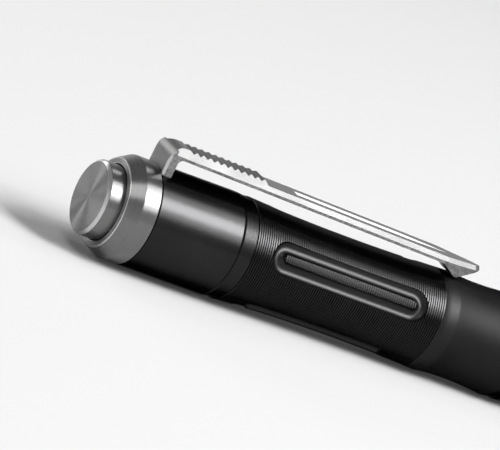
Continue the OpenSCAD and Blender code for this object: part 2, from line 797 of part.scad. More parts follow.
module cell_sleeve(s) {
    color([0.35, 0.37, 0.4]) tube(s + sleeve_inset, s + cell_l - stud_h - sleeve_inset,
        cell_r - sleeve_t, cell_r);
}

module rear_cell_can() {
    cell_can(cell_s);
}

module rear_cell_sleeve() {
    cell_sleeve(cell_s);
}

module front_cell_can() {
    cell_can(front_cell_s);
}

module front_cell_sleeve() {
    cell_sleeve(front_cell_s);
}

module head_shell() {
    color(black) difference() {
        turned([
            [land_r + screw_gap, head_s], [band_r - barrel_edge, head_s],
            [band_r, head_s + barrel_edge], [band_r, head_end_s - barrel_edge],
            [band_r - barrel_edge, head_end_s], [bezel_tube_r + seat_gap, head_end_s],
            [bezel_tube_r + seat_gap, tube_s - seat_gap], [head_bore_r, tube_s - seat_gap],
            [head_bore_r, head_web_s + head_web_t], [head_web_r, head_web_s + head_web_t],
            [head_web_r, head_web_s], [cavity_r, head_web_s], [cavity_r, barrel_end_s + land_l],
            [land_r + screw_gap, barrel_end_s + land_l]
        ]);
        for (i = [0 : fin_count - 1])
            tube(head_s + fin_start + i * fin_pitch, head_s + fin_start + i * fin_pitch + fin_w,
                band_r - fin_d, band_r + over);
    }
}

module contact_post() {
    flange_s = driver_s - seat_gap - post_flange_t;
    color(brass) turned([
        [0, post_s], [post_r, post_s], [post_r, flange_s], [post_flange_r, flange_s],
        [post_flange_r, flange_s + post_flange_t], [0, flange_s + post_flange_t]
    ]);
}

module driver_board() {
    color(board_green) rod(driver_s, driver_s + driver_t, head_bore_r - seat_gap);
}

// A block on the driver board: place across the board, then sides and height
module on_driver(across_x, across_y, size_x, size_y, size_z) {
    at(sink_s) translate([across_x - size_x / 2, across_y - size_y / 2, 0])
        cube([size_x, size_y, size_z]);
}

module driver_chip() {
    chip_w = sink_hollow_r * chip_share;
    color([0.1, 0.1, 0.1]) on_driver(chip_w, 0, chip_w, chip_w, chip_w * chip_h_share);
}

module driver_coil() {
    coil_w = sink_hollow_r * coil_share;
    color([0.25, 0.25, 0.27]) on_driver(-coil_w / 2, 0, coil_w, coil_w, coil_w * coil_h_share);
}

module driver_capacitors() {
    part_w = sink_hollow_r * capacitor_share;
    color([0.7, 0.6, 0.45]) for (side = [-1, 1])
        on_driver(part_w * 2, side * part_w * 2.5, part_w * 2, part_w, part_w);
}

module heat_sink() {
    color(brass) difference() {
        rod(sink_s, sink_s + sink_l, sink_r);
        rod(sink_s - over, sink_s + sink_hollow_d, sink_hollow_r);
        for (side = [-1, 1]) at(sink_s) translate([0, side * wire_hole_at, 0])
            cylinder(r = wire_hole_r, h = sink_l + over);
    }
}

// A lead from the driver board through the heat sink to the top of the light source's board
module lead(side) {
    top = led_s + lead_r;
    at(0) wire([
        [0, side * wire_hole_at, sink_s], [0, side * wire_hole_at, sink_s + sink_l],
        [0, side * wire_hole_at, led_s - lead_r],
        [0, side * (wire_hole_at - lead_r / 3), led_s + lead_r * 2 / 3],
        [0, side * (wire_hole_at - lead_r), top], [0, side * lead_end_at, top]
    ], lead_r, 8);
}

module positive_lead() {
    color([0.7, 0.08, 0.06]) lead(1);
}

module negative_lead() {
    color([0.06, 0.06, 0.06]) lead(-1);
}

module led_board() {
    color([0.85, 0.86, 0.85]) difference() {
        rod(led_board_s, led_board_s + led_board_t, led_board_r);
        for (side = [-1, 1]) at(led_board_s) translate([0, side * wire_hole_at, -over])
            cylinder(r = wire_hole_r, h = led_board_t + 2 * over);
    }
}

module led_emitter() {
    color([0.95, 0.85, 0.35]) {
        at(led_s) translate([-led_w / 2, -led_w / 2, 0]) cube([led_w, led_w, led_h]);
        at(led_s) intersection() {
            translate([0, 0, led_h * dome_share]) sphere(r = dome_r);
            cylinder(r = dome_r, h = led_h + dome_r);
        }
    }
}

module centring_ring() {
    color([0.93, 0.93, 0.9]) turned([
        [centring_bore_r, led_s], [centring_flange_r, led_s],
        [centring_flange_r, led_s + centring_flange_t], [centring_neck_r, led_s + centring_flange_t],
        [centring_neck_r, led_s + centring_flange_t + centring_neck_h],
        [centring_bore_r, led_s + centring_flange_t + centring_neck_h]
    ]);
}

module reflector() {
    steps = 16;
    color([0.9, 0.9, 0.9]) turned(concat(
        [[throat_r, reflector_s]],
        [for (i = [0 : steps]) let (s = throat_end_s + (mouth_s - throat_end_s) * i * i / steps / steps)
            [sqrt(4 * focal_l * (s - vertex_s)), s]],
        [[reflector_r, mouth_s], [reflector_r, reflector_s + reflector_cone_l],
            [reflector_rear_r, reflector_s]]
    ));
}

module lens() {
    color([0.8, 0.87, 0.9, 0.4]) turned([
        [0, lens_s], [lens_r - lens_edge, lens_s], [lens_r, lens_s + lens_edge],
        [lens_r, lens_s + lens_t - lens_edge], [lens_r - lens_edge, lens_s + lens_t],
        [0, lens_s + lens_t]
    ]);
}

module lens_seal() {
    color(rubber) at(lens_seal_s + lens_seal_d / 2) rotate_extrude()
        translate([lens_r - lens_seal_d / 2, 0]) circle(d = lens_seal_d, $fn = 32);
}

module bezel_ring() {
    color(steel) turned([
        [lens_r + seat_gap, tube_s], [bezel_tube_r, tube_s], [bezel_tube_r, bezel_s],
        [bezel_r, bezel_s], [bezel_r, bezel_s + bezel_plain_l], [bezel_rim_r, front_s],
        [bezel_flare_r, front_s], [bezel_mouth_r, lip_s + (front_s - lip_s) / 3],
        [bezel_mouth_r, lip_s], [lens_r + seat_gap, lip_s]
    ]);
}

tail_button();
switch_plunger();
button_boot();
tail_ring();
clip_root();
clip_arm();
tail_cap();
switch_housing();
switch_spring();
switch_board();
board_keeper();
cell_spring();
tail_seal();
barrel();
rear_cell_can();
rear_cell_sleeve();
front_cell_can();
front_cell_sleeve();
head_seal();
head_shell();
contact_post();
driver_board();
driver_chip();
driver_coil();
driver_capacitors();
heat_sink();
positive_lead();
negative_lead();
led_board();
led_emitter();
centring_ring();
reflector();
lens();
lens_seal();
bezel_ring();
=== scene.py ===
import math
import bmesh
import bpy
from mathutils import Matrix, Vector


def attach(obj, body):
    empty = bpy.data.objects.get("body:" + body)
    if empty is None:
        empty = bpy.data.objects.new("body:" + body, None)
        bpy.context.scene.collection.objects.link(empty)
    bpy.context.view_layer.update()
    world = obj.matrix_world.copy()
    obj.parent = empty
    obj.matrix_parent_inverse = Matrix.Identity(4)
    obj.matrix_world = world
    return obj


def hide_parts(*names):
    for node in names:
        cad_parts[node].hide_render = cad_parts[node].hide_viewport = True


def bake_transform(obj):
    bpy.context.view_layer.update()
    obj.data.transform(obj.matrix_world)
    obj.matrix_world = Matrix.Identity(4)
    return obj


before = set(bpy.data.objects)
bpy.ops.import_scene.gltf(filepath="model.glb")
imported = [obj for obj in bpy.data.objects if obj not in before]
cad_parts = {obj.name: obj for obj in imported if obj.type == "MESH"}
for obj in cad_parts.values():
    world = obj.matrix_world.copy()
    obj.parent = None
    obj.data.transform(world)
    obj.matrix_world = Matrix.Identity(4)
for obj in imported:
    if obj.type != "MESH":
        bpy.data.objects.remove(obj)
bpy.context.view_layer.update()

# Stations run forward along the light in millimetres from the tail ring's rear face
axis = {"middleStation": 58.9, "height": 7.2}
axisUp = axis["height"] / 1000


def along(station):
    return (station - axis["middleStation"]) / 1000


def spot(station, across, up):  # up is counted from the light's axis
    return Vector((along(station), across / 1000, (axis["height"] + up) / 1000))


# Node helpers, for materials and for geometry

def put(tree, kind, feeds=None, **settings):
    node = tree.nodes.new(kind)
    for key, value in settings.items():
        setattr(node, key, value)
    for key, value in (feeds or {}).items():
        if isinstance(value, bpy.types.NodeSocket):
            tree.links.new(value, node.inputs[key])
        else:
            node.inputs[key].default_value = value
    return node


def calc(tree, operation, *terms):
    return put(tree, "ShaderNodeMath", dict(enumerate(terms)), operation=operation).outputs[0]


def startTree(name, sizes):  # one named input for each size
    tree = bpy.data.node_groups.new(name, "GeometryNodeTree")
    tree.is_modifier = True
    tree.interface.new_socket("Geometry", in_out="INPUT", socket_type="NodeSocketGeometry")
    tree.interface.new_socket("Geometry", in_out="OUTPUT", socket_type="NodeSocketGeometry")
    kinds = {int: "NodeSocketInt", float: "NodeSocketFloat"}
    for key, value in sizes.items():
        kind = kinds.get(type(value), "NodeSocketMaterial")
        tree.interface.new_socket(key, in_out="INPUT", socket_type=kind)
    return tree, tree.nodes.new("NodeGroupInput").outputs


def endTree(tree, geometry, material):  # instances become real and take their finish
    whole = put(tree, "GeometryNodeRealizeInstances", {"Geometry": geometry}).outputs[0]
    painted = put(tree, "GeometryNodeSetMaterial", {"Geometry": whole, "Material": material}).outputs[0]
    tree.links.new(painted, tree.nodes.new("NodeGroupOutput").inputs[0])


def plain(piece):  # the evaluated shape takes the place of the modifiers
    graph = bpy.context.evaluated_depsgraph_get()
    done = bpy.data.meshes.new_from_object(piece.evaluated_get(graph))
    piece.modifiers.clear()
    old = piece.data
    piece.data = done
    bpy.data.meshes.remove(old)
    done.name = piece.name


def grow(piece, tree, sizes):  # runs a geometry tree on a piece with these sizes
    modifier = piece.modifiers.new(tree.name, "NODES")
    modifier.node_group = tree
    for item in tree.interface.items_tree:
        if item.in_out == "INPUT" and item.name in sizes:
            modifier[item.identifier] = sizes[item.name]
    plain(piece)


def newPiece(name, points, faces, uvs=None):
    mesh = bpy.data.meshes.new(name)
    mesh.from_pydata([tuple(p) for p in points], [], faces)
    if uvs:
        layer = mesh.uv_layers.new(name="turning")
        for loop, uv in zip(layer.data, [uv for face in uvs for uv in face]):
            loop.uv = uv
    piece = bpy.data.objects.new(name, mesh)
    bpy.context.scene.collection.objects.link(piece)
    outward(piece)
    return piece


def outward(piece):  # every face looks out of the solid
    shape = bmesh.new()
    shape.from_mesh(piece.data)
    bmesh.ops.recalc_face_normals(shape, faces=shape.faces)
    shape.to_mesh(piece.data)
    shape.free()


def carve(piece, tool, operation="DIFFERENCE", solver="MANIFOLD"):
    before = len(piece.data.vertices)
    modifier = piece.modifiers.new("carve", "BOOLEAN")
    modifier.object = tool
    modifier.operation = operation
    modifier.solver = solver
    modifier.material_mode = "TRANSFER"
    plain(piece)
    bpy.data.objects.remove(tool)
    print("carved", piece.name, before, "to", len(piece.data.vertices), "points")


def smooth(piece, angle=32, weighted=True):
    piece.data.shade_smooth()
    piece.data.set_sharp_from_angle(angle=math.radians(angle))
    if weighted:
        modifier = piece.modifiers.new("flatFaces", "WEIGHTED_NORMAL")
        modifier.keep_sharp = True
        plain(piece)


def eased(points, ease=0.08, steps=2):
    # breaks each corner of a closed outline; a third value on a point is its own ease
    result = []
    for i, point in enumerate(points):
        here = Vector(point[:2])
        size = point[2] if len(point) > 2 else ease
        if size <= 0 or here.y < 0.0001:
            result.append((here.x, here.y))
            continue
        back = Vector(points[i - 1][:2]) - here
        ahead = Vector(points[(i + 1) % len(points)][:2]) - here
        a = here + back.normalized() * min(size, back.length * 0.42)
        b = here + ahead.normalized() * min(size, ahead.length * 0.42)
        for k in range(steps + 1):
            t = k / steps
            q = a * (1 - t) ** 2 + here * 2 * t * (1 - t) + b * t ** 2
            result.append((q.x, q.y))
    return result


def turned(name, outline, steps=112):
    # turns a closed outline of (station, radius) round the light's axis, with a map: along, around
    rows, points = [], []
    for station, radius in outline:
        if radius < 0.0001:
            rows.append([len(points)])
            points.append(spot(station, 0, 0))
            continue
        rows.append(list(range(len(points), len(points) + steps)))
        for k in range(steps):
            a = 2 * math.pi * (k + 0.5) / steps
            points.append(spot(station, radius * math.cos(a), radius * math.sin(a)))
    faces, uvs, run = [], [], 0
    for i, near in enumerate(rows):
        far = rows[(i + 1) % len(rows)]
        p, q = outline[i], outline[(i + 1) % len(rows)]
        step = math.hypot(q[0] - p[0], q[1] - p[1]) / 50
        if len(near) > 1 or len(far) > 1:
            for k in range(steps):
                m = (k + 1) % steps
                u0, u1, v0, v1 = run, run + step, k / steps, (k + 1) / steps
                if len(near) == 1:
                    faces.append((near[0], far[k], far[m]))
                    uvs.append(((u0, v0), (u1, v0), (u1, v1)))
                elif len(far) == 1:
                    faces.append((near[k], far[0], near[m]))
                    uvs.append(((u0, v0), (u1, v0), (u0, v1)))
                else:
                    faces.append((near[k], far[k], far[m], near[m]))
                    uvs.append(((u0, v0), (u1, v0), (u1, v1), (u0, v1)))
        run += step
    return newPiece(name, points, faces, uvs)


# Camera

view = {"lens": 252.0, "place": (-0.2598304, -0.3880238, 0.1010728),
        "turn": (77.225748, -25.97556, -23.562278)}
camera = bpy.data.objects.new("camera", bpy.data.cameras.new("camera"))
bpy.context.scene.collection.objects.link(camera)
camera.data.lens = view["lens"]
camera.data.sensor_width = 36
camera.data.clip_start = 0.02
camera.data.clip_end = 20
camera.location = view["place"]
camera.rotation_euler = [math.radians(a) for a in view["turn"]]
bpy.context.scene.camera = camera
bpy.context.scene.view_settings.view_transform = "Standard"
print("camera set")

# Studio: a pale floor and backdrop, one softbox in a larger dim one over the light's side, and four fills

studio = {"floorRadius": 4.0, "floorColour": (0.63, 0.63, 0.63, 1), "floorGlow": 0.04, "farGlow": 0.6,
          "nearEdge": 0.7, "farEdge": 2.6, "worldGrey": 0.1, "overheadGlow": 0.3, "backdropGlow": 0.66,
          "backdropTop": (0.22, 0.6)}


def seenRays(tree):  # the camera and whatever reflects or lets through the background
    path = tree.nodes.new("ShaderNodeLightPath").outputs
    seen = calc(tree, "MAXIMUM", path["Is Camera Ray"], path["Is Glossy Ray"])
    return calc(tree, "MAXIMUM", seen, path["Is Transmission Ray"])


def makeFloor():
    steps = 96
    rim = [(studio["floorRadius"] * math.cos(2 * math.pi * k / steps),
            studio["floorRadius"] * math.sin(2 * math.pi * k / steps), 0) for k in range(steps)]
    floor = newPiece("studioFloor", rim, [tuple(range(steps))])
    paint = bpy.data.materials.new("studioFloor")
    paint.use_nodes = True
    tree = paint.node_tree
    tree.nodes.clear()
    place = tree.nodes.new("ShaderNodeTexCoord").outputs["Object"]
    away = put(tree, "ShaderNodeVectorMath", {0: place}, operation="LENGTH").outputs["Value"]
    level = put(tree, "ShaderNodeMapRange", {0: away, 1: studio["nearEdge"], 2: studio["farEdge"],
                3: studio["floorGlow"], 4: studio["farGlow"]}, interpolation_type="SMOOTHSTEP").outputs[0]
    glow = put(tree, "ShaderNodeEmission", {"Color": (1, 1, 1, 1),
               "Strength": calc(tree, "MULTIPLY", seenRays(tree), level)})
    matt = put(tree, "ShaderNodeBsdfDiffuse", {"Color": studio["floorColour"]})
    both = put(tree, "ShaderNodeAddShader", {0: glow.outputs[0], 1: matt.outputs[0]})
    put(tree, "ShaderNodeOutputMaterial", {"Surface": both.outputs[0]})
    floor.data.materials.append(paint)


def softbox(name, aim, distance, longSide, shortSide, strength):
    # aim points from the light to the softbox, whose long side lies along the light's length
    toward = Vector(aim).normalized()
    side = (Vector((1, 0, 0)) - toward * toward.x).normalized()
    lamp = bpy.data.lights.new(name, "AREA")
    lamp.shape = "RECTANGLE"
    lamp.size, lamp.size_y = longSide, shortSide
    lamp.energy = strength * math.pi * longSide * shortSide
    holder = bpy.data.objects.new(name, lamp)
    holder.matrix_world = Matrix((side, toward.cross(side), toward)).transposed().to_4x4()
    holder.location = toward * distance
    holder.visible_camera = False
    bpy.context.scene.collection.objects.link(holder)


makeFloor()
softbox("keySoftbox", (0.455, -0.525, 0.719), 1.6, 0.5, 0.6, 22)
softbox("keyWrap", (0.455, -0.51, 0.73), 1.62, 0.5, 1.5, 7.5)
softbox("leftFill", (-0.42, -0.41, 0.81), 1.3, 0.5, 0.7, 3.2)
softbox("backLeftFill", (-0.4, 0.8, 0.36), 1.3, 0.7, 0.4, 2.2)
softbox("topStrip", (0.458, 0.449, 0.767), 1.3, 0.5, 0.2, 4)
softbox("tipFill", (0.745, -0.03, 0.666), 1.6, 0.22, 0.5, 9.5)


def makeWorld():  # dim overhead, with a pale backdrop all round the horizon
    world = bpy.data.worlds.new("studio")
    bpy.context.scene.world = world
    world.use_nodes = True
    tree = world.node_tree
    toward = tree.nodes.new("ShaderNodeTexCoord").outputs["Generated"]
    height = calc(tree, "ABSOLUTE", put(tree, "ShaderNodeSeparateXYZ", {0: toward}).outputs[2])
    band = put(tree, "ShaderNodeMapRange", {
        0: height, 1: studio["backdropTop"][0], 2: studio["backdropTop"][1], 3: studio["backdropGlow"],
        4: studio["overheadGlow"]}, interpolation_type="SMOOTHSTEP").outputs[0]
    seen = seenRays(tree)
    level = calc(tree, "ADD", calc(tree, "MULTIPLY", seen, band),
                 calc(tree, "MULTIPLY", calc(tree, "SUBTRACT", 1.0, seen), studio["worldGrey"]))
    shade = tree.nodes["Background"].inputs
    shade["Color"].default_value = (1, 1, 1, 1)
    tree.links.new(level, shade["Strength"])


makeWorld()
print("studio lit")

# Finishes

def finish(name, look):
    # look: two colours that drift into each other, a grain and its relief, and plain shader values
    material = bpy.data.materials.new(name)
    material.use_nodes = True
    tree = material.node_tree
    shader = tree.nodes["Principled BSDF"]
    place = tree.nodes.new("ShaderNodeTexCoord").outputs["Object"]
    centred = put(tree, "ShaderNodeMapping", {"Vector": place, "Location": (0, 0, -axisUp)}).outputs[0]
    x, y, z = put(tree, "ShaderNodeSeparateXYZ", {0: centred}).outputs
    kind, size = look.get("grain", "fine"), look.get("size", 0.2) / 1000
    if kind == "turned":  # rings round the axis, on the sides and on the end faces alike
        square = calc(tree, "ADD", calc(tree, "MULTIPLY", y, y), calc(tree, "MULTIPLY", z, z))
        radius = calc(tree, "SQRT", square)
        ring = calc(tree, "DIVIDE", calc(tree, "MULTIPLY_ADD", radius, 0.8, x), size)
        coords = put(tree, "ShaderNodeCombineXYZ", {0: ring, 1: calc(tree, "MULTIPLY", y, 260.0),
                     2: calc(tree, "MULTIPLY", z, 260.0)}).outputs[0]
    elif kind == "drawn":  # long streaks along the light
        coords = put(tree, "ShaderNodeMapping", {"Vector": centred,
                     "Scale": (0.06 / size, 1 / size, 1 / size)}).outputs[0]
    else:
        coords = put(tree, "ShaderNodeMapping", {"Vector": centred, "Scale": (1 / size,) * 3}).outputs[0]
    grain = put(tree, "ShaderNodeTexNoise", {"Vector": coords, "Scale": 1.0, "Detail": 2.0,
                "Roughness": 0.6}).outputs[0]
    drift = put(tree, "ShaderNodeTexNoise", {"Vector": centred, "Scale": 1000 / look.get("drift", 6.0),
                "Detail": 4.0}).outputs[0]
    blend = calc(tree, "ADD", calc(tree, "MULTIPLY", drift, 0.55), calc(tree, "MULTIPLY", grain, 0.45))
    ramp = put(tree, "ShaderNodeValToRGB", {0: blend})
    ramp.color_ramp.elements[0].position, ramp.color_ramp.elements[1].position = 0.34, 0.66
    ramp.color_ramp.elements[0].color = (*look["low"], 1)
    ramp.color_ramp.elements[1].color = (*look["high"], 1)
    tree.links.new(ramp.outputs[0], shader.inputs["Base Color"])
    rough = look.get("rough", (0.4, 0.5))
    level = put(tree, "ShaderNodeMapRange", {0: blend, 1: 0.32, 2: 0.68, 3: rough[0], 4: rough[1]})
    tree.links.new(level.outputs[0], shader.inputs["Roughness"])
    bump = put(tree, "ShaderNodeBump", {"Height": grain, "Strength": look.get("relief", 0.3),
               "Distance": size * 0.25})
    tree.links.new(bump.outputs[0], shader.inputs["Normal"])
    for socket, value in look.get("shader", {}).items():
        shader.inputs[socket].default_value = value
    if look.get("mapped"):  # the piece's own map runs along its outline first
        tangent = put(tree, "ShaderNodeTangent", {}, direction_type="UV_MAP")
        tangent.uv_map = "turning"
        tree.links.new(tangent.outputs[0], shader.inputs["Tangent"])
    return material


bareMetal = {"Metallic": 1.0}
darkMetal = {"Metallic": 1.0, "Specular Tint": (0.25, 0.25, 0.25, 1)}  # black at its edges too
finishes = {
    "blackAnodising": {"low": (0.022, 0.022, 0.0224), "high": (0.03, 0.03, 0.0304), "size": 0.16,
        "rough": (0.21, 0.28), "relief": 0.14, "shader": darkMetal},
    "blastedAnodising": {"low": (0.022, 0.022, 0.0224), "high": (0.03, 0.03, 0.0304), "size": 0.16,
        "rough": (0.42, 0.5), "relief": 0.14, "shader": darkMetal},
    # painted shade: a darker copy of the black anodising for the neck, besides being more matt
    "mattAnodisingPaintedShade": {"low": (0.018, 0.018, 0.0184), "high": (0.025, 0.025, 0.0254), "size": 0.16,
        "rough": (0.5, 0.58), "relief": 0.14, "shader": darkMetal},
    "cutChannel": {"low": (0.026, 0.026, 0.0264), "high": (0.034, 0.034, 0.0344), "grain": "drawn",
        "size": 0.1, "rough": (0.34, 0.4), "relief": 0.08, "shader": darkMetal},
    "facedSteel": {"low": (0.26, 0.26, 0.26), "high": (0.34, 0.34, 0.337), "grain": "turned",
        "size": 0.06, "rough": (0.4, 0.44), "relief": 0.05, "mapped": True,
        "shader": {"Metallic": 1.0, "Anisotropic": 1.0}},
    # painted shade: the turned sides' steel is darker than the faced ends', for the dark surroundings they
    # reflect
    "turnedSteelPaintedShade": {"low": (0.15, 0.15, 0.15), "high": (0.21, 0.21, 0.208), "grain": "turned",
        "size": 0.07, "rough": (0.26, 0.32), "relief": 0.14, "mapped": True,
        "shader": {"Metallic": 1.0, "Anisotropic": 0.75}},
    # painted highlight: a brighter steel for rear-facing edges and the clip's groove, where light draws bright
    # lines
    "polishedEdgePaintedHighlight": {"low": (0.5, 0.5, 0.497), "high": (0.62, 0.62, 0.615), "grain": "turned",
        "size": 0.1, "rough": (0.2, 0.28), "relief": 0.1, "shader": bareMetal},
    "satinSteel": {"low": (0.18, 0.18, 0.179), "high": (0.26, 0.26, 0.258), "size": 0.12,
        "rough": (0.32, 0.42), "relief": 0.3, "shader": bareMetal},
    "machinedEdge": {"low": (0.13, 0.13, 0.1295), "high": (0.21, 0.21, 0.209), "grain": "drawn", "size": 0.08,
        "rough": (0.28, 0.36), "relief": 0.2, "shader": bareMetal},
    "clipSide": {"low": (0.09, 0.09, 0.089), "high": (0.34, 0.34, 0.337), "size": 0.2,
        "rough": (0.42, 0.58), "relief": 0.8, "drift": 0.5, "shader": bareMetal},
    "springSteel": {"low": (0.5, 0.49, 0.46), "high": (0.66, 0.64, 0.6), "size": 0.15,
        "rough": (0.22, 0.32), "relief": 0.15, "shader": bareMetal},
    "blackRubber": {"low": (0.012, 0.012, 0.012), "high": (0.026, 0.026, 0.026), "size": 0.12,
        "rough": (0.6, 0.78), "relief": 0.5},
    "switchPlastic": {"low": (0.022, 0.022, 0.025), "high": (0.04, 0.04, 0.043), "size": 0.15,
        "rough": (0.42, 0.55), "relief": 0.35},
    "plungerPlastic": {"low": (0.7, 0.68, 0.62), "high": (0.8, 0.78, 0.73), "size": 0.2,
        "rough": (0.38, 0.5), "relief": 0.2},
    "circuitBoard": {"low": (0.012, 0.085, 0.035), "high": (0.02, 0.14, 0.06), "size": 0.4,
        "rough": (0.25, 0.38), "relief": 0.35, "shader": {"Coat Weight": 0.4, "Coat Roughness": 0.2}},
    "chipPackage": {"low": (0.015, 0.015, 0.016), "high": (0.03, 0.03, 0.032), "size": 0.08,
        "rough": (0.5, 0.62), "relief": 0.4},
    "coilCore": {"low": (0.09, 0.09, 0.095), "high": (0.16, 0.16, 0.165), "size": 0.12,
        "rough": (0.55, 0.7), "relief": 0.5},
    "capacitorBody": {"low": (0.4, 0.28, 0.17), "high": (0.52, 0.38, 0.25), "size": 0.1,
        "rough": (0.4, 0.55), "relief": 0.25},
    "machinedBrass": {"low": (0.56, 0.4, 0.17), "high": (0.7, 0.52, 0.25), "grain": "turned",
        "size": 0.1, "rough": (0.26, 0.38), "relief": 0.3, "shader": bareMetal},
    "cellCan": {"low": (0.6, 0.6, 0.59), "high": (0.74, 0.74, 0.72), "grain": "drawn", "size": 0.2,
        "rough": (0.2, 0.3), "relief": 0.15, "shader": bareMetal},
    "cellSleeve": {"low": (0.09, 0.1, 0.115), "high": (0.13, 0.14, 0.16), "size": 0.5,
        "rough": (0.22, 0.32), "relief": 0.12, "shader": {"Coat Weight": 0.5, "Coat Roughness": 0.15}},
    "redInsulation": {"low": (0.34, 0.015, 0.012), "high": (0.46, 0.03, 0.022), "size": 0.2,
        "rough": (0.3, 0.42), "relief": 0.15},
    "blackInsulation": {"low": (0.014, 0.014, 0.014), "high": (0.028, 0.028, 0.028), "size": 0.2,
        "rough": (0.3, 0.42), "relief": 0.15},
    "whiteBoard": {"low": (0.66, 0.67, 0.66), "high": (0.76, 0.77, 0.76), "size": 0.3,
        "rough": (0.3, 0.42), "relief": 0.15},
    "ledPhosphor": {"low": (0.72, 0.56, 0.1), "high": (0.84, 0.7, 0.18), "size": 0.1,
        "rough": (0.1, 0.2), "relief": 0.1, "shader": {"Coat Weight": 1.0, "Coat Roughness": 0.03}},
    "whitePlastic": {"low": (0.7, 0.7, 0.68), "high": (0.79, 0.79, 0.77), "size": 0.2,
        "rough": (0.35, 0.48), "relief": 0.2},
    "mirrorCoat": {"low": (0.84, 0.84, 0.84), "high": (0.9, 0.9, 0.9), "grain": "turned", "size": 0.4,
        "rough": (0.04, 0.09), "relief": 0.06, "shader": bareMetal},
    "lensGlass": {"low": (0.9, 0.95, 0.97), "high": (0.97, 0.99, 1.0), "size": 3.0,
        "rough": (0.01, 0.03), "relief": 0.02, "shader": {"Transmission Weight": 1.0, "IOR": 1.5,
        "Coat Weight": 0.3, "Coat Roughness": 0.02}},
    "cellKeeper": {"low": (0.5, 0.5, 0.51), "high": (0.62, 0.62, 0.63), "grain": "turned", "size": 0.12,
        "rough": (0.3, 0.42), "relief": 0.25, "shader": bareMetal},
}
paints = {name: finish(name, look) for name, look in finishes.items()}
print("finishes mixed:", len(paints))


def seat(piece, body, slot, *nodes):
    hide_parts(*nodes)
    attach(piece, body)


def faced(piece):  # turned sides in a darker copy of the steel, painted shade; polished rear-facing bevels and edges in a brighter steel, painted highlight; faced ends that show their tool marks as a fan
    for coat in ("turnedSteelPaintedShade", "facedSteel", "polishedEdgePaintedHighlight"):
        piece.data.materials.append(paints[coat])
    for face in piece.data.polygons:
        # end faces keep the lighter steel; the sides' darker steel is painted shade and the edges' brighter
        # steel a painted highlight
        face.material_index = 1 if face.normal.x < -0.98 else 2 if face.normal.x < -0.6 else 0


# Tail button

buttonSizes = {"faceStation": -6.6, "radius": 5.05, "edge": 0.4, "flangeRadius": 5.38, "flangeStation": -2.96,
               "endStation": -2.16, "hollowRadius": 4.2, "floorStation": -5.2, "stemRadius": 1.5,
               "stemEnd": 1.24}


def makeButton(b):
    piece = turned("tailButton", eased([
        (b["faceStation"], 0), (b["faceStation"], b["radius"] - b["edge"], 0.06),
        (b["faceStation"] + b["edge"], b["radius"], 0.06), (b["flangeStation"], b["radius"]),
        (b["flangeStation"], b["flangeRadius"]), (b["endStation"], b["flangeRadius"]),
        (b["endStation"], b["hollowRadius"]), (b["floorStation"], b["hollowRadius"], 0.2),
        (b["floorStation"], b["stemRadius"], 0.2), (b["stemEnd"], b["stemRadius"]), (b["stemEnd"], 0)]))
    faced(piece)
    smooth(piece)
    seat(piece, "button_body", "turned_steel", "tail_button")


makeButton(buttonSizes)

# Tail ring

ringSizes = {"rearStation": -4.2, "faceRadius": 6.0, "radius": 7.0, "plainStation": -2.3, "lipRadius": 5.2,
             "lipStation": -3.0, "boreRadius": 5.5, "tubeRadius": 6.1, "tubeEnd": 2.2}


def makeRing(r):
    piece = turned("tailRing", eased([
        (r["rearStation"], r["lipRadius"], 0.1), (r["rearStation"], r["faceRadius"], 0.14),
        (r["plainStation"], r["radius"], 0.09), (0, r["radius"], 0.12), (0, r["tubeRadius"]),
        (r["tubeEnd"], r["tubeRadius"]), (r["tubeEnd"], r["boreRadius"]),
        (r["lipStation"], r["boreRadius"]), (r["lipStation"], r["lipRadius"])], 0.05), 128)
    faced(piece)
    smooth(piece)
    seat(piece, "tail_body", "turned_steel", "tail_ring")


makeRing(ringSizes)
print("button and ring turned")

# Barrel: rings turned into both waists, channels milled round eight islands, threads at the ends

barrelSizes = {
    "threadEnds": (8.3, 101.5), "threadRadius": 5.95, "threadLead": 0.2, "threadPitch": 0.65,
    "threadDepth": 0.3, "landRadius": 6.25, "landLength": 1.9, "sealWidth": 0.8, "sealDepth": 0.5,
    "ends": (12.8, 97.0), "edge": 0.15, "bore": 5.3, "cellEnd": 101.5,
    "rearGrip": (14.9, 45.1, 47.3),  # where the rings start and end, and the crest
    "rearRadius": 7.04, "rearWaist": 6.63, "crestStops": (45.6, 46.2, 46.8), "neckStation": 52.05,
    "neckRadius": 6.79, "neckHalf": 5.25, "frontCrest": 58.7684, "frontGrip": (60.868, 94.9),
    "radius": 7.2, "frontWaist": 6.8, "ringPitch": 0.343, "ringDepth": 0.17,
    "slots": ((30.1, 24.5, 6.13), (78.18, 24.5, 6.3)),  # middle, length and floor's radius
    "slotWidth": 4.5, "channelWidth": 1.6, "slotTurn": 67.0, "slotCount": 4,
    "cutterHalf": 0.98, "cutterDrop": 1.0, "cutterRise": 1.5}


def arcRadius(half, rise):
    return (half * half + rise * rise) / (2 * rise)


def dipped(station, middle, low, curve):
    return low + curve - math.sqrt(curve * curve - (station - middle) ** 2)


def ringStops(start, end, pitch):  # three loops to a ring: the bottom of the cut and both edges of the crest
    count = int((end - start) / pitch)
    return [start + (i + k) * pitch for i in range(count) for k in (0, 0.25, 0.75)] + [start + count * pitch]


